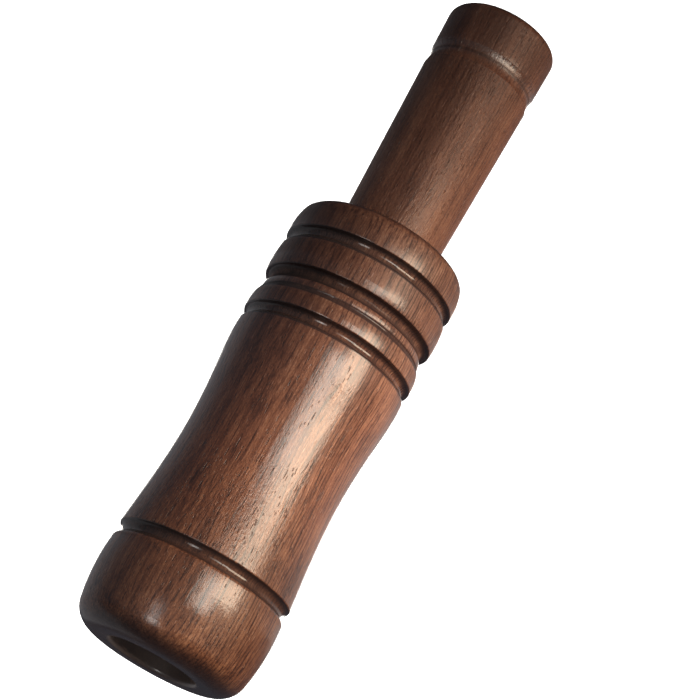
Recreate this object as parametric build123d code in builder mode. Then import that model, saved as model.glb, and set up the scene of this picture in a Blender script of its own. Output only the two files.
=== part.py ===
"""Turned walnut duck call that pulls apart: barrel, stem, tone board, two reeds, wedge and two O-rings.

The call stands on its exhaust end with the mouth up. +Z runs along its axis, -Y is the side the reeds
are on, and the origin is at the middle of the exhaust end. All distances named "at" are measured down
from the mouth face, and all depths are measured in from the widest turning.
"""
import os

from build123d import *

# Barrel, outside
barrel_length = 87.95
body_d = 34.35
bell_length = 16.4
bell_crest_at = 12.0
bell_face_depth = 1.9
bell_shoulder_depth = 0.28
lip_round = 5.0
groove_width = 2.5
groove_depth = 0.9
vase_lip_depth = 0.21
vase_foot_depth = 1.02
waist_depth = 1.61
vase_rise_depth = 1.22
vase_shoulder_depth = 0.73
vase_crest_depth = 0.26
vase_end_depth = 0.33
ring_1_width = 6.75
ring_1_end_depth = 1.13
ring_2_width = 6.05
ring_2_lip_depth = 0.26
ring_3_width = 3.75
ring_3_end_depth = 0.45
ring_crest_depth = 0.07
ring_lip_depth = 0.12
collar_groove_width = 2.3
collar_groove_depth = 1.15
score_width = 0.8
score_depth = 0.62
bead_width = 1.4
bead_depth = 0.93
bead_lip_depth = 0.99
bead_end_depth = 1.13
cove_width = 2.25
cove_depth = 1.8
collar_round = 2.5
shoulder_round = 0.9
edge_round = 0.3

# Barrel, inside
bore_d = 15.9
mouth_flare = 0.55
mouth_bore_length = 15.0
mouth_round = 0.7
bore_chamfer = 0.5

# Stem
stem_length = 50.55
stem_root_d = 19.6
stem_tip_d = 22.45
stem_groove_from_end = 11.2
stem_groove_width = 3.8
stem_groove_depth = 0.3
stem_end_round = 1.7
tenon_length = 20.0
tenon_clearance = 0.1
shoulder_gap = 0.1
exhaust_bore_d = 9.5
exhaust_round = 1.2

# O-rings on the tenon
ring_section = 1.35
ring_clearance = 0.03
ring_groove_play = 0.45
rear_ring_from_shoulder = 4.0
front_ring_from_shoulder = 15.0

# Tone board
spigot_step = 0.5
spigot_length = 14.0
board_clearance = 0.5
board_collar_length = 3.0
notch_length = 11.0
notch_undercut = 1.2
tip_clearance = 4.7
tongue_corner = 3.0
tongue_tip_depth = 4.4
tongue_ramp_length = 14.0
bed_height = 0.6
bed_radius = 450.0
channel_root_d = 6.2
channel_tip_d = 4.4
channel_start = 6.0
channel_sink = 0.5

# Reeds and wedge
reed_side_clearance = 0.95
reed_thickness = 0.25
reed_gap = 0.14
reed_spacing = 0.1
reed_corner = 2.5
long_reed_setback = 0.6
short_reed_setback = 3.6
reed_tail_clearance = 0.7
dimple_d = 1.6
dimple_from_tip = 9.0
pinch_clearance = 0.02
pinch_width = 1.2
wedge_front_clearance = 0.4

# Derived radii and positions
body_r = body_d / 2
bore_r = bore_d / 2
mouth_bore_r = bore_r + mouth_flare
shoulder_at = barrel_length + shoulder_gap
call_length = shoulder_at + stem_length
tenon_r = bore_r - tenon_clearance
tenon_at = shoulder_at - tenon_length
exhaust_r = exhaust_bore_d / 2
spigot_r = exhaust_r + spigot_step
spigot_end = tenon_at + spigot_length
ring_outer_r = bore_r - ring_clearance
ring_floor_r = ring_outer_r - ring_section - ring_clearance
board_r = bore_r - board_clearance
notch_rear_at = tenon_at - board_collar_length
notch_front_at = notch_rear_at - notch_length
pivot_at = notch_rear_at - notch_length / 2
tip_at = mouth_bore_length + tip_clearance
long_reed_height = bed_height + reed_gap
short_reed_height = long_reed_height + reed_thickness + reed_spacing
wedge_height = short_reed_height + reed_thickness + reed_gap

# Working planes: the side view through the axis, plan views of the reed side and cross sections
mouth_centre = Vector(0, 0, call_length)
side = Plane(origin=mouth_centre, x_dir=(0, 0, -1), z_dir=(-1, 0, 0))
call_axis = Axis(mouth_centre, (0, 0, -1))


def plan(height):
    """The view onto the reed side, at a height over the axis."""
    return Plane(origin=mouth_centre + Vector(0, -height, 0), x_dir=(0, 0, -1), z_dir=(0, -1, 0))


def station(at):
    """The cross section at a distance from the mouth."""
    return Plane(origin=mouth_centre + Vector(0, 0, -at), x_dir=(1, 0, 0), z_dir=(0, 0, -1))


def crown(start, crest, end):
    """A turned bead in the outline: two arcs that meet level at the crest."""
    TangentArc(crest, start, tangent=(-1, 0))
    TangentArc(crest, end, tangent=(1, 0))


def rim(turned, at, radius):
    """The round edge of a turned part nearest to one point of its outline."""
    loops = turned.edges().filter_by(lambda edge: edge.is_closed)
    return loops.sort_by_distance(side.from_local_coords(Vector(at, radius)))[0]


# Barrel: mouth bell, waisted body and a collar of three rings, bored through
ring_1_at = barrel_length - ring_1_width
ring_2_end = ring_1_at - collar_groove_width
ring_2_at = ring_2_end - ring_2_width
bead_end = ring_2_at - cove_width
bead_at = bead_end - bead_width
ring_3_end = bead_at - score_width
ring_3_at = ring_3_end - ring_3_width
vase_end = ring_3_at - collar_groove_width
vase_at = bell_length + groove_width
vase_length = vase_end - vase_at
ring_1_crest_at = ring_1_at + 0.25 * ring_1_width
ring_2_crest_at = ring_2_at + 0.3 * ring_2_width
bead_crest_at = bead_at + 0.3 * bead_width
ring_3_crest_at = ring_3_at + 0.35 * ring_3_width
bell_face_r = body_r - bell_face_depth
bell_shoulder_r = body_r - bell_shoulder_depth
vase_lip_r = body_r - vase_lip_depth
vase_end_r = body_r - vase_end_depth
ring_lip_r = body_r - ring_lip_depth
ring_crest_r = body_r - ring_crest_depth
ring_1_end_r = body_r - ring_1_end_depth
ring_2_lip_r = body_r - ring_2_lip_depth
ring_3_end_r = body_r - ring_3_end_depth
bead_r = body_r - bead_depth
bead_lip_r = body_r - bead_lip_depth
bead_end_r = body_r - bead_end_depth
lip_fillet = min(lip_round, bell_face_r - mouth_bore_r - mouth_round - edge_round)

with BuildPart() as barrel:
    with BuildSketch(side):
        with BuildLine():
            Line((0, mouth_bore_r), (0, bell_face_r))
            crown((0, bell_face_r), (bell_crest_at, body_r), (bell_length, bell_shoulder_r))
            ThreePointArc(
                (bell_length, bell_shoulder_r),
                (bell_length + groove_width / 2, bell_shoulder_r - groove_depth),
                (vase_at, vase_lip_r),
            )
            Spline(
                (vase_at, vase_lip_r),
                (vase_at + 0.2 * vase_length, body_r - vase_foot_depth),
                (vase_at + 0.47 * vase_length, body_r - waist_depth),
                (vase_at + 0.69 * vase_length, body_r - vase_rise_depth),
                (vase_at + 0.81 * vase_length, body_r - vase_shoulder_depth),
                (vase_at + 0.96 * vase_length, body_r - vase_crest_depth),
                (vase_end, vase_end_r),
            )
            ThreePointArc(
                (vase_end, vase_end_r),
                (vase_end + collar_groove_width / 2, vase_end_r - collar_groove_depth),
                (ring_3_at, ring_lip_r),
            )
            crown((ring_3_at, ring_lip_r), (ring_3_crest_at, ring_crest_r), (ring_3_end, ring_3_end_r))
            ThreePointArc(
                (ring_3_end, ring_3_end_r),
                (ring_3_end + score_width / 2, ring_3_end_r - score_depth),
                (bead_at, bead_lip_r),
            )
            crown((bead_at, bead_lip_r), (bead_crest_at, bead_r), (bead_end, bead_end_r))
            ThreePointArc(
                (bead_end, bead_end_r),
                (bead_end + cove_width / 2, body_r - cove_depth),
                (ring_2_at, ring_2_lip_r),
            )
            crown((ring_2_at, ring_2_lip_r), (ring_2_crest_at, body_r), (ring_2_end, ring_2_lip_r))
            ThreePointArc(
                (ring_2_end, ring_2_lip_r),
                (ring_2_end + collar_groove_width / 2, ring_2_lip_r - collar_groove_depth),
                (ring_1_at, ring_lip_r),
            )
            crown((ring_1_at, ring_lip_r), (ring_1_crest_at, ring_crest_r), (barrel_length, ring_1_end_r))
            Polyline(
                (barrel_length, ring_1_end_r),
                (barrel_length, bore_r),
                (mouth_bore_length, bore_r),
                (mouth_bore_length, mouth_bore_r),
                (0, mouth_bore_r),
            )
        make_face()
    revolve(axis=call_axis)
    fillet(rim(barrel, 0, bell_face_r), radius=lip_fillet)
    fillet(rim(barrel, 0, mouth_bore_r), radius=mouth_round)
    fillet(rim(barrel, barrel_length, ring_1_end_r), radius=collar_round)
    fillet(rim(barrel, bell_length, bell_shoulder_r), radius=shoulder_round)
    crisp_lips = [
        rim(barrel, vase_at, vase_lip_r),
        rim(barrel, vase_end, vase_end_r),
        rim(barrel, ring_3_at, ring_lip_r),
        rim(barrel, bead_end, bead_end_r),
        rim(barrel, ring_2_at, ring_2_lip_r),
        rim(barrel, ring_2_end, ring_2_lip_r),
        rim(barrel, ring_1_at, ring_lip_r),
    ]
    fillet(crisp_lips, radius=edge_round)
    chamfer(rim(barrel, barrel_length, bore_r), length=bore_chamfer)

# Stem: flared exhaust tube with a turned groove, and a tenon with two O-ring grooves
stem_root_r = stem_root_d / 2
stem_tip_r = stem_tip_d / 2
stem_slope = (stem_tip_r - stem_root_r) / stem_length
stem_groove_at = call_length - stem_groove_from_end - stem_groove_width / 2
stem_groove_end = stem_groove_at + stem_groove_width
groove_low_r = stem_root_r + stem_slope * (stem_groove_at - shoulder_at)
groove_high_r = stem_root_r + stem_slope * (stem_groove_end - shoulder_at)
ring_groove_width = ring_section + ring_groove_play
ring_stations = {
    "front_o_ring": shoulder_at - front_ring_from_shoulder,
    "rear_o_ring": shoulder_at - rear_ring_from_shoulder,
}

with BuildPart() as stem:
    with BuildSketch(side):
        with BuildLine():
            Polyline(
                (tenon_at, spigot_r),
                (tenon_at, tenon_r),
                (shoulder_at, tenon_r),
                (shoulder_at, stem_root_r),
                (stem_groove_at, groove_low_r),
            )
            ThreePointArc(
                (stem_groove_at, groove_low_r),
                (stem_groove_at + stem_groove_width / 2, groove_low_r - stem_groove_depth),
                (stem_groove_end, groove_high_r),
            )
            Polyline(
                (stem_groove_end, groove_high_r),
                (call_length, stem_tip_r),
                (call_length, exhaust_r),
                (spigot_end, exhaust_r),
                (spigot_end, spigot_r),
                (tenon_at, spigot_r),
            )
        make_face()
        for ring_at in ring_stations.values():
            with Locations((ring_at, (ring_floor_r + bore_r) / 2)):
                Rectangle(ring_groove_width, bore_r - ring_floor_r, mode=Mode.SUBTRACT)
    revolve(axis=call_axis)
    fillet(rim(stem, call_length, stem_tip_r), radius=stem_end_round)
    fillet(rim(stem, call_length, exhaust_r), radius=exhaust_round)

# O-rings: held in the tenon grooves and bearing on the barrel bore
o_rings = {}
for name, ring_at in ring_stations.items():
    with BuildPart() as o_ring:
        with BuildSketch(side):
            with Locations((ring_at, ring_outer_r - ring_section / 2)):
                Circle(ring_section / 2)
        revolve(axis=call_axis)
    o_rings[name] = o_ring.part

# Tone board: half-round tongue with a curved reed bed, tone channel, wedge notch, collar and spigot
tongue_length = notch_front_at - tip_at
bed_drop = bed_radius - (bed_radius**2 - tongue_length**2) ** 0.5
bed_mid_drop = bed_radius - (bed_radius**2 - (tongue_length / 2) ** 2) ** 0.5
pinch_rise = reed_gap - pinch_clearance
channel_at = tip_at + channel_start
channel_tip_r = channel_tip_d / 2
channel_y = -channel_sink

with BuildPart() as tone_board:
    with BuildSketch(side):
        with BuildLine():
            Polyline(
                (tip_at, bed_height - bed_drop),
                (tip_at, -tongue_tip_depth),
                (tip_at + tongue_ramp_length, -board_r),
                (tenon_at, -board_r),
                (tenon_at, board_r),
                (notch_rear_at - notch_undercut, board_r),
                (notch_rear_at, bed_height),
                (pivot_at + pinch_width / 2, bed_height),
            )
            ThreePointArc(
                (pivot_at + pinch_width / 2, bed_height),
                (pivot_at, bed_height + pinch_rise),
                (pivot_at - pinch_width / 2, bed_height),
            )
            Line((pivot_at - pinch_width / 2, bed_height), (notch_front_at, bed_height))
            ThreePointArc(
                (notch_front_at, bed_height),
                (notch_front_at - tongue_length / 2, bed_height - bed_mid_drop),
                (tip_at, bed_height - bed_drop),
            )
        make_face()
    extrude(amount=board_r, both=True)
    with BuildSketch(plan(0)) as tongue_plan:
        with Locations(((tip_at + tenon_at) / 2, 0)):
            Rectangle(tenon_at - tip_at, 2 * board_r)
        fillet(tongue_plan.vertices().group_by(Axis.X)[0], radius=tongue_corner)
    extrude(amount=board_r, both=True, mode=Mode.INTERSECT)
    with BuildSketch(station(tip_at)):
        Circle(board_r)
    extrude(amount=tenon_at - tip_at, mode=Mode.INTERSECT)
    with BuildSketch(station(tenon_at)):
        Circle(spigot_r)
    extrude(amount=spigot_length)
    with BuildSketch(side):
        with BuildLine():
            RadiusArc(
                (channel_at - channel_tip_r, channel_y),
                (channel_at, channel_y + channel_tip_r),
                channel_tip_r,
            )
            Polyline(
                (channel_at, channel_y + channel_tip_r),
                (spigot_end, channel_y + channel_root_d / 2),
                (spigot_end, channel_y),
                (channel_at - channel_tip_r, channel_y),
            )
        make_face()
    revolve(axis=Axis(side.from_local_coords(Vector(0, channel_y)), (0, 0, -1)), mode=Mode.SUBTRACT)

# Reeds: two sheets clamped under the wedge, the upper one shorter and kept apart by a dimple
reed_width = 2 * (board_r - reed_side_clearance)
reed_tail_at = notch_rear_at - reed_tail_clearance
long_reed_at = tip_at + long_reed_setback
short_reed_at = tip_at + short_reed_setback

with BuildPart() as long_reed:
    with BuildSketch(plan(long_reed_height)) as long_reed_plan:
        with Locations(((long_reed_at + reed_tail_at) / 2, 0)):
            Rectangle(reed_tail_at - long_reed_at, reed_width)
        fillet(long_reed_plan.vertices().group_by(Axis.X)[0], radius=reed_corner)
    extrude(amount=reed_thickness)

with BuildPart() as short_reed:
    with BuildSketch(plan(short_reed_height)) as short_reed_plan:
        with Locations(((short_reed_at + reed_tail_at) / 2, 0)):
            Rectangle(reed_tail_at - short_reed_at, reed_width)
        fillet(short_reed_plan.vertices().group_by(Axis.X)[0], radius=reed_corner)
    extrude(amount=reed_thickness)
    with BuildSketch(plan(short_reed_height)):
        with Locations((short_reed_at + dimple_from_tip, 0)):
            Circle(dimple_d / 2)
    extrude(amount=-(reed_spacing - pinch_clearance))

# Wedge: cork block jammed under the slanted notch wall, pinching the reeds along one line
wedge_front_at = notch_front_at + wedge_front_clearance
wedge_rise = (wedge_height - bed_height) / (board_r - bed_height)

with BuildPart() as wedge:
    with BuildSketch(side):
        with BuildLine():
            Polyline(
                (pivot_at + pinch_width / 2, wedge_height),
                (notch_rear_at - notch_undercut * wedge_rise, wedge_height),
                (notch_rear_at - notch_undercut, board_r),
                (wedge_front_at, board_r),
                (wedge_front_at, wedge_height),
                (pivot_at - pinch_width / 2, wedge_height),
            )
            ThreePointArc(
                (pivot_at - pinch_width / 2, wedge_height),
                (pivot_at, wedge_height - pinch_rise),
                (pivot_at + pinch_width / 2, wedge_height),
            )
        make_face()
    extrude(amount=board_r, both=True)
    with BuildSketch(station(notch_front_at)):
        Circle(board_r)
    extrude(amount=notch_length, mode=Mode.INTERSECT)

# One file for each piece
pieces = {
    "barrel": barrel.part,
    "stem": stem.part,
    "tone_board": tone_board.part,
    "long_reed": long_reed.part,
    "short_reed": short_reed.part,
    "wedge": wedge.part,
    **o_rings,
}
os.makedirs("parts", exist_ok=True)
for name, piece in pieces.items():
    piece.label = name
    export_step(piece, f"parts/{name}.step")
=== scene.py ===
import math

import bpy
from mathutils import Matrix, Vector

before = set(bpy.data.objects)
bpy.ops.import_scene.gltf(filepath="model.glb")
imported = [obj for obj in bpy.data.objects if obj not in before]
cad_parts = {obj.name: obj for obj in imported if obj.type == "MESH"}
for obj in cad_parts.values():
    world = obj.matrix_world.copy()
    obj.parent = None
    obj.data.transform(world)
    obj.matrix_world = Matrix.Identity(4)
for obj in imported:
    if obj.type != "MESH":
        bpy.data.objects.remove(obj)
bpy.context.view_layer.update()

MM = 0.001

# Places along the call are in mm from the mouth, and places across it in mm from the axis towards +X
CALL_LENGTH = 138.6

# Turned grooves: where each starts and ends, and how burnt it is at its start and at its end. Where the
# burn thins towards the end it paints light into the groove's shaded flank
BARREL_GROOVES = (
    (16.4, 18.9, 0.72, 0.6),
    (61.95, 64.65, 0.95, 0.05),
    (67.95, 69.3, 0.9, 0.8),
    (70.6, 72.85, 0.95, 0.05),
    (78.5, 81.2, 0.95, 0.05),
)
STEM_GROOVES = ((127.3, 127.9, 0.5, 0.5),)
GROOVE_EDGE = 0.15

# Radii in mm inside which the wood is the wall of a bore
BARREL_BORE_EDGE = 9.1
STEM_BORE_EDGE = 5.9
BORE_FADE = 0.6

# Walnut: the tree's middle lies beside the call, so the photograph's right side is cut across the rings
PITH = (46.0, -40.0, 0.0)
RING_SPACING = 0.74
SWAY_SIZE = (9.0, 9.0, 40.0)
SWAY_REACH = (5.0, 5.0, 0.0)
CROSSWISE = (1.0, 1.0, 0.0)
MEAN_TONE = 0.62
WOOD_TONES = (
    (0.0, (0.030, 0.013, 0.0095)),
    (0.3, (0.086, 0.035, 0.0205)),
    (0.55, (0.156, 0.066, 0.0375)),
    (0.8, (0.228, 0.106, 0.060)),
    (1.0, (0.312, 0.162, 0.097)),
)
DARK_WOOD = (0.026, 0.0125, 0.011)
# Pale flecks painted as glints of light on pore edges
PAINTED_GLINT = (0.44, 0.27, 0.20)
# Pale grey for the walls of the bores: painted light in their shade
BORE_PAINTED_LIGHT = (0.26, 0.21, 0.19)

# Cells in mm that pores and painted glints lie in, and where along the call the short pores crowd
LONG_PORE = (0.4, 0.4, 4.4)
SHORT_PORE = (0.36, 0.36, 1.1)
SHORT_PORE_CROWD = ((14.0, 0.4), (21.0, 1.0), (29.0, 0.9), (38.0, 0.4))
GLINT = (0.3, 0.3, 1.9)
GLINT_SEED = (7.0, 3.0, 9.0)

# Tints of the wood along the barrel and the stem: their darkening towards the collar and the stem's tip is
# painted shade where the light falls off, and their cooler tint on the collar is painted cool fill light
BARREL_TINTS_AND_PAINTED_SHADE = (
    (0.0, (0.86, 0.80, 0.73)),
    (12.0, (0.80, 0.74, 0.68)),
    (18.0, (0.80, 0.72, 0.66)),
    (27.0, (0.89, 0.76, 0.67)),
    (40.0, (1.03, 0.89, 0.82)),
    (60.0, (1.0, 0.90, 0.89)),
    (67.0, (0.86, 0.84, 0.90)),
    (74.0, (0.74, 0.72, 0.79)),
    (81.0, (0.66, 0.65, 0.70)),
    (88.0, (0.58, 0.57, 0.61)),
)
STEM_TINTS_AND_PAINTED_SHADE = (
    (88.0, (0.64, 0.58, 0.57)),
    (98.0, (0.58, 0.52, 0.52)),
    (115.0, (0.44, 0.39, 0.39)),
    (126.0, (0.37, 0.33, 0.33)),
    (133.0, (0.27, 0.235, 0.24)),
    (138.6, (0.25, 0.22, 0.225)),
)

# Patches of painted shade on the barrel: the first on its +X side, which lies in shade, from the waist
# into the collar, the second on its -X side from the lower waist towards the mouth; how dark, then where
# each starts and is full, across and along
BARREL_PAINTED_SHADE_PATCHES = (
    (0.3, (-2.0, 7.0), (36.0, 66.0)),
    (0.22, (-4.0, -10.0), (36.0, 24.0)),
)

# Painted light and shade across the stem: its +X side, which lies in shade, is painted paler and bluer as
# fill light, its -X edge paler as sheen, and its middle darker as shade
STEM_PAINTED_LIGHT_REACH = 12.0
STEM_PAINTED_LIGHT = (
    (-10.0, (1.2, 1.2, 1.2)),
    (-8.0, (1.06, 1.08, 1.08)),
    (-4.0, (1.0, 0.96, 0.93)),
    (-2.0, (0.95, 0.95, 0.95)),
    (0.0, (0.77, 0.80, 0.88)),
    (2.0, (0.60, 0.63, 0.70)),
    (4.0, (0.85, 0.94, 1.08)),
    (6.0, (1.42, 1.65, 1.85)),
    (8.0, (1.48, 1.75, 2.0)),
    (10.0, (1.6, 2.0, 2.25)),
)

# How much lacquer lies on the wood: it is thin on the crowns of the collar and gathers in grooves
BARREL_LACQUER = (
    (0.0, 0.7),
    (6.0, 0.9),
    (15.0, 0.88),
    (16.0, 0.45),
    (16.5, 0.85),
    (18.9, 0.8),
    (20.0, 0.75),
    (34.0, 1.0),
    (57.5, 1.0),
    (61.0, 0.85),
    (62.2, 0.75),
    (62.5, 1.0),
    (64.4, 1.0),
    (64.8, 0.9),
    (65.6, 0.75),
    (67.2, 0.25),
    (68.8, 0.6),
    (70.4, 0.75),
    (71.0, 0.12),
    (72.4, 0.12),
    (72.9, 0.62),
    (74.8, 0.62),
    (75.6, 0.12),
    (78.4, 0.08),
    (79.2, 0.9),
    (81.0, 0.9),
    (81.5, 0.6),
    (82.6, 0.28),
    (83.8, 0.08),
)
STEM_LACQUER = (
    (88.0, 0.2),
    (97.0, 0.17),
    (108.0, 0.06),
    (126.7, 0.03),
    (126.95, 0.8),
    (127.2, 0.8),
    (127.4, 0.05),
    (127.8, 0.05),
    (128.1, 0.9),
    (129.0, 0.9),
    (129.6, 0.2),
    (130.2, 0.05),
    (138.6, 0.04),
)
LACQUER_IOR = 1.5

# How open the grain of the barrel is, and how deep the grain is in mm, in the wood and through the lacquer
OPEN_GRAIN = (
    (0.0, 0.3),
    (15.0, 0.45),
    (22.0, 0.85),
    (33.0, 0.7),
    (46.0, 0.4),
    (62.0, 0.33),
    (70.0, 0.45),
)
GRAIN_DEPTH = 0.16
BARREL_COAT_DEPTH = 0.066
STEM_COAT_DEPTH = 0.08

# Floor whose far edges slope up, in m
FLOOR_REACH = 5.0
SLOPE_REACH = 30.0
FLOOR_TOOTH = (1.5, 1.5, 1.5)
FLOOR_DIM = (0.86, 0.86, 0.86)
FLOOR_BRIGHT = (0.9, 0.9, 0.9)
FLOOR_LIGHT = 7.0

# Lights stand round the middle of the barrel, at a distance in m
LIGHT_MIDDLE = Vector((0.0, 0.0, 92.0)) * MM
PANEL_DISTANCE = 0.8
BACK_DISTANCE = 1.0
NO_FADES = (0.0, 0.0, 0.0, 0.0)
SHARPEST_FADE = 0.001
WINDOW = (1.0, 0.97, 0.86)
WARM = (1.0, 0.82, 0.62)
ROSY = (1.0, 0.87, 0.8)
LAMP = (1.0, 0.97, 0.93)
IVORY = (1.0, 0.95, 0.9)
CREAM = (1.0, 0.95, 0.88)
PALE_SKY = (0.95, 0.95, 1.0)
CLOUDY = (0.95, 0.97, 1.0)
BLUE_SKY = (0.75, 0.86, 1.0)
ROOM = (0.045, 0.052, 0.066, 1.0)

# Camera, as the photograph was taken: from above the mouth, with the call's tip to the upper right
SENSOR_WIDTH = 36.0
LENS = 110.571
CLIP_START = 0.01
CLIP_END = 50.0
CAMERA_PLACE = Vector((-3.66, -372.052, 197.857)) * MM
CAMERA_RIGHT = Vector((-0.87292, -0.15722, -0.46183))
CAMERA_UP = Vector((0.48786, -0.28131, -0.82635))
CAMERA_BACK = Vector((0.0, -0.94665, 0.32227))


class Nodes:
    """A node tree, with short calls for the nodes that finishes and lights share."""

    def __init__(self, tree):
        self.tree = tree

    def put(self, socket, value):
        if isinstance(value, bpy.types.NodeSocket):
            self.tree.links.new(value, socket)
        else:
            socket.default_value = value

    def vector(self, operation, a, b=None):
        node = self.tree.nodes.new("ShaderNodeVectorMath")
        node.operation = operation
        self.put(node.inputs[0], a)
        if b is not None:
            self.put(node.inputs[1], b)
        return node.outputs["Value" if operation == "LENGTH" else "Vector"]

    def math(self, operation, a, b=None, c=None):
        node = self.tree.nodes.new("ShaderNodeMath")
        node.operation = operation
        for socket, value in zip(node.inputs, (a, b, c)):
            if value is not None:
                self.put(socket, value)
        return node.outputs[0]

    def product(self, first, *others):
        for other in others:
            first = self.math("MULTIPLY", first, other)
        return first

    def parts(self, vector):
        node = self.tree.nodes.new("ShaderNodeSeparateXYZ")
        self.put(node.inputs[0], vector)
        return node.outputs

    def spread(self, value, low, high, to_low=0.0, to_high=1.0):
        """A smooth step of a value between two limits."""
        node = self.tree.nodes.new("ShaderNodeMapRange")
        node.interpolation_type = "SMOOTHSTEP"
        for socket, given in zip(node.inputs, (value, low, high, to_low, to_high)):
            self.put(socket, given)
        return node.outputs[0]


class Finish(Nodes):
    """One material, with textures placed in mm of the call's own frame."""

    # Places of the colour sockets of a mix node
    MIX_A, MIX_B, MIXED = 6, 7, 2

    # Smallest and largest fleck, as shares of the usual radius, and where a fleck's soft edge starts
    FLECK_SIZES = (0.55, 1.25)
    FLECK_CORE = 0.65

    def __init__(self, name):
        self.material = bpy.data.materials.new(name)
        self.material.use_nodes = True
        super().__init__(self.material.node_tree)
        self.surface = self.tree.nodes["Principled BSDF"]
        place = self.tree.nodes.new("ShaderNodeTexCoord")
        self.normal = place.outputs["Normal"]
        self.mm = self.vector("MULTIPLY", place.outputs["Object"], (1 / MM, 1 / MM, 1 / MM))

    def set(self, **values):
        """Values for the surface shader's sockets, whose names are written with underscores."""
        for name, value in values.items():
            self.put(self.surface.inputs[name.replace("_", " ")], value)

    def cells(self, size, shift=(0.0, 0.0, 0.0)):
        """Coordinates in cells of a given size in mm."""
        return self.vector("DIVIDE", self.vector("ADD", self.mm, shift), size)

    def noise(self, vector, detail=2.0, roughness=0.5, colour=False):
        node = self.tree.nodes.new("ShaderNodeTexNoise")
        self.put(node.inputs["Vector"], vector)
        self.put(node.inputs["Scale"], 1.0)
        self.put(node.inputs["Detail"], detail)
        self.put(node.inputs["Roughness"], roughness)
        return node.outputs["Color" if colour else 0]

    def grain(self, seed, across, along, detail=2.0, roughness=0.5):
        """Noise drawn out along the call, with cells of a given size in mm across and along."""
        return self.noise(self.cells((across, across, along), seed), detail, roughness)

    def flecks(self, vector, radius, share):
        """Soft round marks in a share of the cells, each with its own size."""
        node = self.tree.nodes.new("ShaderNodeTexVoronoi")
        self.put(node.inputs["Vector"], vector)
        self.put(node.inputs["Scale"], 1.0)
        chance, size, _ = self.parts(node.outputs["Color"])
        edge = self.math("MULTIPLY", self.spread(size, 0.0, 1.0, *self.FLECK_SIZES), radius)
        reach = self.math("DIVIDE", node.outputs["Distance"], edge)
        inside = self.spread(reach, self.FLECK_CORE, 1.0, 1.0, 0.0)
        return self.math("MULTIPLY", inside, self.math("LESS_THAN", chance, share))

    def ramp(self, value, *stops):
        node = self.tree.nodes.new("ShaderNodeValToRGB")
        self.put(node.inputs[0], value)
        row = node.color_ramp.elements
        while len(row) < len(stops):
            row.new(1.0)
        for element, (at, colour) in zip(row, stops):
            element.position = at
            element.color = (*colour, 1.0)
        return node.outputs["Color"]

    def mix(self, factor, a, b, blend="MIX"):
        node = self.tree.nodes.new("ShaderNodeMix")
        node.data_type = "RGBA"
        node.blend_type = blend
        self.put(node.inputs["Factor"], factor)
        for place, value in ((self.MIX_A, a), (self.MIX_B, b)):
            self.put(node.inputs[place], (*value, 1.0) if isinstance(value, tuple) else value)
        return node.outputs[self.MIXED]

    def bump(self, height, depth, strength=1.0):
        """A bump normal from a height, in mm of depth."""
        node = self.tree.nodes.new("ShaderNodeBump")
        self.put(node.inputs["Strength"], strength)
        self.put(node.inputs["Distance"], depth * MM)
        self.put(node.inputs["Height"], height)
        return node.outputs[0]

    def from_axis(self):
        """Distance from the call's axis in mm."""
        x, y, _ = self.parts(self.mm)
        squares = self.math("ADD", self.math("MULTIPLY", x, x), self.math("MULTIPLY", y, y))
        return self.math("SQRT", squares)

    def along(self, *stops):
        """A value or colour that changes along the call, given at distances from the mouth."""
        below = self.math("SUBTRACT", CALL_LENGTH, self.parts(self.mm)[2])
        share = self.math("DIVIDE", below, CALL_LENGTH)
        shares = [at / CALL_LENGTH for at, _ in stops]
        colours = [value if isinstance(value, tuple) else (value, value, value) for _, value in stops]
        return self.ramp(share, *zip(shares, colours))

    def across(self, reach, *stops):
        """A colour that changes across the call, given at distances from the axis towards +X."""
        share = self.math("MULTIPLY_ADD", self.parts(self.mm)[0], 0.5 / reach, 0.5)
        return self.ramp(share, *((0.5 + 0.5 * at / reach, colour) for at, colour in stops))

    def painted_shade_patches(self, rows):
        """One outside the patches of painted shade, and less inside them."""
        beside, _, upward = self.parts(self.mm)
        shades = []
        for dark, sides, places in rows:
            patch = self.product(
                self.spread(beside, *sides),
                self.spread(upward, *(CALL_LENGTH - place for place in places)),
            )
            shades.append(self.math("MULTIPLY_ADD", patch, -dark, 1.0))
        return self.product(*shades)

    def in_grooves(self, grooves, edge):
        """One in each turned groove and zero outside, and the same times how burnt the groove is, which
        grades along the groove so that its shaded flank is painted lighter.
        """
        height = self.parts(self.mm)[2]
        inside, burn_and_painted_light = 0.0, 0.0
        for start, end, burnt_start, burnt_end in grooves:
            middle = CALL_LENGTH - (start + end) / 2
            half = (end - start) / 2
            off = self.math("ABSOLUTE", self.math("SUBTRACT", height, middle))
            groove = self.spread(off, half + edge, half - edge)
            # The burn grades from the groove's start to its end, so its shaded flank is painted lighter
            char = self.spread(height, middle + half, middle - half, burnt_start, burnt_end)
            inside = self.math("MAXIMUM", groove, inside)
            burn_and_painted_light = self.math("MAXIMUM", self.math("MULTIPLY", groove, char), burn_and_painted_light)
        return inside, burn_and_painted_light


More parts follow.
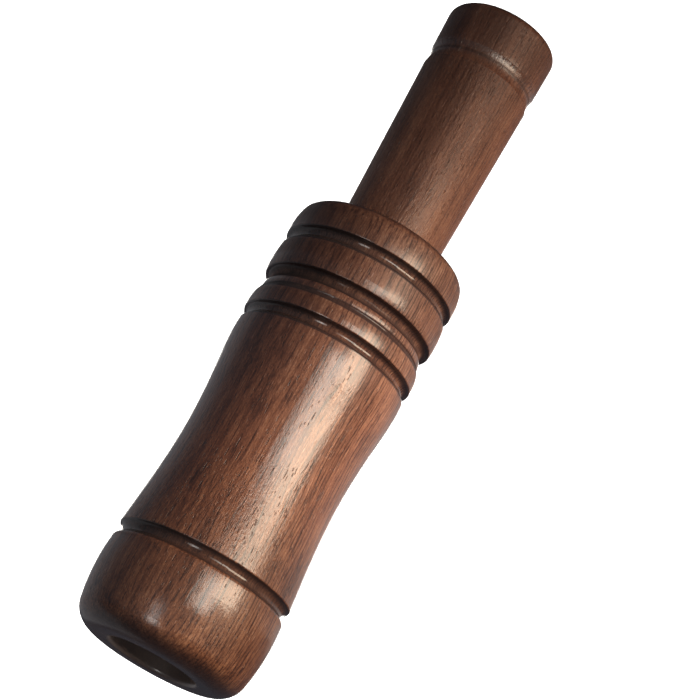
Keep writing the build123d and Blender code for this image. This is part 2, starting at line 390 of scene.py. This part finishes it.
def walnut(name, grooves, bore_edge, shades, figure, seed):
    """Walnut with its grain along the call: growth rings, pigment streaks, fibres and open pores.

    The shades tint the wood at distances from the mouth, partly as painted shade, and the figure tells how
    strong its grain is.
    """
    s = Finish(name)
    sway = s.noise(s.cells(SWAY_SIZE, seed), detail=3.0, colour=True)
    sway = s.vector("MULTIPLY", s.vector("SUBTRACT", sway, (0.5, 0.5, 0.5)), SWAY_REACH)
    bent = s.vector("SUBTRACT", s.vector("ADD", s.mm, sway), PITH)
    from_pith = s.vector("LENGTH", s.vector("MULTIPLY", bent, CROSSWISE))
    ring = s.math("FRACT", s.math("DIVIDE", from_pith, RING_SPACING))
    streak = s.grain(seed, 0.75, 26.0, detail=3.0, roughness=0.6)
    band = s.grain(seed, 1.9, 38.0)
    line = s.grain(seed, 0.34, 7.5, roughness=0.55)
    fibre = s.grain(seed, 0.25, 5.0, detail=3.0, roughness=0.65)
    cloud = s.grain(seed, 4.0, 11.0, detail=3.0, roughness=0.55)
    grit = s.grain(seed, 0.24, 0.5, roughness=0.6)
    ripple = s.grain(seed, 0.6, 1.1)
    room = s.grain(seed, 2.2, 9.0)

    # Tone of the wood: noises that lighten and darken it, then dark late wood in the rings and dark lines
    weights = (
        (streak, 0.65 * figure),
        (band, 0.75 * figure),
        (fibre, 1.25 * figure),
        (cloud, 0.6),
        (grit, 0.7),
    )
    tone = MEAN_TONE
    for noise, weight in weights:
        tone = s.math("MULTIPLY_ADD", s.math("SUBTRACT", noise, 0.5), weight, tone)
    late = s.product(
        s.spread(ring, 0.55, 0.88),
        s.spread(ring, 0.92, 1.0, 1.0, 0.0),
        s.spread(s.parts(s.mm)[0], 9.0, -11.0, 0.25, 1.0),
    )
    late_tone = s.spread(streak, 0.3, 0.7, -0.62 * figure, -0.2 * figure)
    tone = s.math("MULTIPLY_ADD", late, late_tone, tone)
    tone = s.math("MULTIPLY_ADD", s.spread(line, 0.56, 0.68), -0.3 * figure, tone)
    wood = s.ramp(tone, *WOOD_TONES)

    # Open pores, and painted glints of light on pore edges where there are few of them
    long_share = s.spread(room, 0.36, 0.62, 0.1, 0.6)
    long_pores = s.flecks(s.cells(LONG_PORE, seed), 0.23, long_share)
    short_share = s.product(s.spread(room, 0.4, 0.66, 0.04, 0.3), s.along(*SHORT_PORE_CROWD), 2.5)
    short_pores = s.flecks(s.cells(SHORT_PORE, seed), 0.3, short_share)
    pore = s.math("MAXIMUM", long_pores, s.math("MULTIPLY", short_pores, 0.8))
    wood = s.mix(s.math("MULTIPLY", pore, 0.8 * figure), wood, DARK_WOOD)
    glints = s.flecks(s.cells(GLINT, GLINT_SEED), 0.27, s.spread(room, 0.4, 0.6, 0.24, 0.03))
    wood = s.mix(s.math("MULTIPLY", glints, 0.55), wood, PAINTED_GLINT)

    # Dark end grain and burnt grooves, and the walls of the bore painted pale grey as light in their shade
    endways = s.math("ABSOLUTE", s.parts(s.normal)[2])
    wood = s.mix(s.spread(endways, 0.35, 0.85, 0.0, 0.8), wood, DARK_WOOD)
    s.groove, burn_and_painted_light = s.in_grooves(grooves, GROOVE_EDGE)
    wood = s.mix(burn_and_painted_light, wood, DARK_WOOD)
    inside = s.spread(s.from_axis(), bore_edge, bore_edge - BORE_FADE)
    wood = s.mix(s.math("MULTIPLY", inside, 0.9), wood, BORE_PAINTED_LIGHT)
    # The tints along the call multiply the wood, partly as painted shade towards the collar and the tip
    s.colour = s.mix(1.0, wood, s.along(*shades), "MULTIPLY")

    # Height of the grain: open pores are deep, fibres and ripples stand up
    height = s.math("MULTIPLY_ADD", pore, -1.0, s.math("MULTIPLY", fibre, 0.75))
    height = s.math("MULTIPLY_ADD", ripple, 0.6, height)
    s.height = s.math("MULTIPLY_ADD", grit, 0.45, height)
    s.fibre = fibre
    s.pore = pore
    return s


def barrel_finish():
    """Gloss lacquer that sinks into the pores and leaves the grooves duller."""
    s = walnut(
        "barrel_lacquered_walnut",
        BARREL_GROOVES,
        BARREL_BORE_EDGE,
        BARREL_TINTS_AND_PAINTED_SHADE,
        figure=1.0,
        seed=(3.0, 11.0, 20.0),
    )
    smooth = s.spread(s.groove, 0.0, 1.0, 1.0, 0.15)
    open_grain = s.math("MULTIPLY", s.along(*OPEN_GRAIN), smooth)
    sealed = s.spread(s.pore, 0.0, 1.0, 1.0, 0.2)
    satin = s.spread(s.fibre, 0.2, 0.8, 0.36, 0.5)
    s.set(
        # The base colour is darkened by patches of painted shade
        Base_Color=s.mix(1.0, s.colour, s.painted_shade_patches(BARREL_PAINTED_SHADE_PATCHES), "MULTIPLY"),
        Specular_IOR_Level=0.3,
        Roughness=s.math("MAXIMUM", satin, s.math("MULTIPLY", s.groove, 0.85)),
        Normal=s.bump(s.height, GRAIN_DEPTH, open_grain),
        Coat_Weight=s.math("MULTIPLY", s.along(*BARREL_LACQUER), sealed),
        Coat_Roughness=0.08,
        Coat_IOR=LACQUER_IOR,
        Coat_Normal=s.bump(s.height, BARREL_COAT_DEPTH, open_grain),
    )
    return s


def stem_finish():
    """Satin wood with painted light and shade across it, and some gloss in its groove."""
    s = walnut(
        "stem_satin_walnut",
        STEM_GROOVES,
        STEM_BORE_EDGE,
        STEM_TINTS_AND_PAINTED_SHADE,
        figure=0.55,
        seed=(31.0, 5.0, 44.0),
    )
    # Painted light and shade across the stem multiply its colour
    painted_light_across = s.across(STEM_PAINTED_LIGHT_REACH, *STEM_PAINTED_LIGHT)
    s.set(
        Base_Color=s.mix(1.0, s.colour, painted_light_across, "MULTIPLY"),
        Specular_IOR_Level=0.18,
        Roughness=s.spread(s.fibre, 0.2, 0.8, 0.38, 0.54),
        Normal=s.bump(s.height, GRAIN_DEPTH),
        Coat_Weight=s.along(*STEM_LACQUER),
        Coat_Roughness=0.14,
        Coat_IOR=LACQUER_IOR,
        Coat_Normal=s.bump(s.height, STEM_COAT_DEPTH),
    )
    return s


def plain(name, size, low, high, roughness, depth, pit=None):
    """A moulded or cut finish: two tones, a fine bump and dark pits, all at one size in mm."""
    s = Finish(name)
    grain = s.noise(s.cells((size, size, size)), detail=4.0, roughness=0.6)
    colour = s.mix(grain, low, high)
    if pit is not None:
        colour = s.mix(s.flecks(s.cells((size, size, size * 0.7)), 0.33, 0.35), colour, pit)
    s.set(
        Base_Color=colour,
        Roughness=s.spread(grain, 0.2, 0.8, roughness - 0.07, roughness + 0.07),
        Normal=s.bump(grain, depth),
    )
    return s


board = plain("board_plastic", 0.25, (0.012, 0.012, 0.013), (0.022, 0.022, 0.023), 0.36, 0.02)
rubber = plain("o_ring_rubber", 0.12, (0.010, 0.010, 0.011), (0.020, 0.020, 0.021), 0.55, 0.02)
film = plain("reed_film", 0.18, (0.33, 0.35, 0.35), (0.42, 0.44, 0.43), 0.3, 0.006)
cork = plain("cork", 0.8, (0.22, 0.12, 0.055), (0.40, 0.25, 0.13), 0.8, 0.15, (0.07, 0.035, 0.018))

finishes = {
    "barrel": barrel_finish(),
    "stem": stem_finish(),
    "tone_board": board,
    "long_reed": film,
    "short_reed": film,
    "wedge": cork,
    "front_o_ring": rubber,
    "rear_o_ring": rubber,
}
for node, finish in finishes.items():
    for material_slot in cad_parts[node].material_slots:
        material_slot.material = finish.material

# The floor is seen by the camera alone, so that the wood mirrors the lights and not the floor
floor_mesh = bpy.data.meshes.new("floor")
floor_corners = [
    (x * reach, y * reach, reach - FLOOR_REACH)
    for reach in (FLOOR_REACH, SLOPE_REACH)
    for x, y in ((-1, -1), (1, -1), (1, 1), (-1, 1))
]
floor_slopes = [(i, i + 4, (i + 1) % 4 + 4, (i + 1) % 4) for i in range(4)]
floor_mesh.from_pydata(floor_corners, [], [(0, 1, 2, 3), *floor_slopes])
floor = bpy.data.objects.new("floor", floor_mesh)
bpy.context.collection.objects.link(floor)
floor_paper = Finish("floor_paper")
tooth = floor_paper.noise(floor_paper.cells(FLOOR_TOOTH), detail=3.0)
floor_paper.set(
    Base_Color=floor_paper.mix(tooth, FLOOR_DIM, FLOOR_BRIGHT),
    Roughness=0.9,
    Specular_IOR_Level=0.0,
)
floor_mesh.materials.append(floor_paper.material)
floor.visible_glossy = False
floor.visible_diffuse = False
floor.visible_shadow = False


def toward(azimuth, elevation, distance):
    """A place round the call, at an azimuth from the camera's side towards -X and at an elevation."""
    a, e = math.radians(azimuth), math.radians(elevation)
    way = Vector((-math.sin(a) * math.cos(e), -math.cos(a) * math.cos(e), math.sin(e)))
    return LIGHT_MIDDLE + distance * way


def panel(
    name,
    azimuths,
    elevations,
    radiance,
    colour,
    fades=NO_FADES,
    distance=PANEL_DISTANCE,
    mirrored=True,
    lights=True,
):
    """A panel that fills a stretch of azimuth and elevation as seen from the call.

    The fades are the shares of its width and height over which it dims, from its low and high azimuth and
    from its low and high elevation. A panel that isn't mirrored only lights the wood, and one that doesn't
    light it is only mirrored in the lacquer.
    """
    middle = toward(sum(azimuths) / 2, sum(elevations) / 2, distance)
    lamp = bpy.data.lights.new(name, "AREA")
    lamp.shape = "RECTANGLE"
    lamp.size = 2 * distance * math.tan(math.radians(abs(azimuths[1] - azimuths[0]) / 2))
    lamp.size_y = 2 * distance * math.tan(math.radians(abs(elevations[1] - elevations[0]) / 2))
    lamp.energy = radiance * math.pi * lamp.size * lamp.size_y
    lamp.color = colour
    if any(fades):
        lamp.use_nodes = True
        glow = Nodes(lamp.node_tree)
        place = glow.tree.nodes.new("ShaderNodeNewGeometry").outputs["Parametric"]
        across, upward, _ = glow.parts(place)
        low_azimuth, high_azimuth, low, high = (max(fade, SHARPEST_FADE) for fade in fades)
        strength = glow.product(
            glow.spread(across, 1.0, 1.0 - low_azimuth),
            glow.spread(across, 0.0, high_azimuth),
            glow.spread(upward, 0.0, low),
            glow.spread(upward, 1.0, 1.0 - high),
        )
        glow.put(glow.tree.nodes["Emission"].inputs["Strength"], strength)
    panel_object = bpy.data.objects.new(name, lamp)
    panel_object.location = middle
    panel_object.rotation_euler = (middle - LIGHT_MIDDLE).to_track_quat("Z", "Y").to_euler()
    panel_object.visible_camera = False
    panel_object.visible_glossy = mirrored
    panel_object.visible_diffuse = lights
    bpy.context.collection.objects.link(panel_object)


panel("window_cool", (0.0, 29.0), (-24.0, 4.0), 8.0, WINDOW, (0.6, 0.02, 0.34, 0.2), lights=False)
panel("window_warm", (28.0, 56.5), (-38.0, -4.0), 12.0, WARM, (0.05, 0.15, 0.45, 0.12), lights=False)
panel("warm_fill", (34.0, 70.0), (-40.0, 7.0), 11.6, WARM, mirrored=False)
panel("front_fill", (-24.0, 26.0), (-60.0, 0.0), 0.74, ROSY, mirrored=False)
panel("top_fill", (-50.0, 40.0), (28.0, 62.0), 0.16, PALE_SKY, mirrored=False)
panel("right_fill", (75.0, 110.0), (-50.0, 0.0), 2.5, WARM, mirrored=False)
panel("ceiling_lamp", (-34.0, -14.0), (2.0, 44.0), 8.0, LAMP, (0.5, 0.5, 0.5, 0.5), lights=False)
panel("left_haze", (-110.0, -25.0), (-45.0, 20.0), 0.06, BLUE_SKY, lights=False)
panel("left_sheen", (-165.0, -110.0), (-35.0, 60.0), 0.17, CLOUDY, lights=False)
panel("right_sheen", (80.0, 165.0), (-45.0, -5.0), 0.4, IVORY, (0.4, 0.1, 0.3, 0.2), lights=False)
panel("back_fill", (130.0, 230.0), (-10.0, 60.0), 1.6, LAMP, distance=BACK_DISTANCE, mirrored=False)
panel("back_window", (164.0, 196.0), (-38.0, 0.0), 4.0, CREAM, (0.2, 0.2, 0.2, 0.2))

# The floor has a light of its own, which neither lights the call nor is shaded by it
floor_light = bpy.data.lights.new("floor_light", "SUN")
floor_light.energy = FLOOR_LIGHT
floor_lamp = bpy.data.objects.new("floor_light", floor_light)
floor_only = bpy.data.collections.new("floor_only")
floor_only.objects.link(floor)
floor_lamp.light_linking.receiver_collection = floor_only
floor_lamp.light_linking.blocker_collection = floor_only
bpy.context.collection.objects.link(floor_lamp)

world = bpy.data.worlds.new("studio")
world.use_nodes = True
world.node_tree.nodes["Background"].inputs["Color"].default_value = ROOM
bpy.context.scene.world = world
bpy.context.scene.view_settings.view_transform = "Standard"

camera_data = bpy.data.cameras.new("camera")
camera_data.sensor_width = SENSOR_WIDTH
camera_data.lens = LENS
camera_data.clip_start = CLIP_START
camera_data.clip_end = CLIP_END
camera = bpy.data.objects.new("camera", camera_data)
turn = Matrix((CAMERA_RIGHT, CAMERA_UP, CAMERA_BACK)).transposed()
camera.matrix_world = Matrix.Translation(CAMERA_PLACE) @ turn.to_4x4()
bpy.context.collection.objects.link(camera)
bpy.context.scene.camera = camera
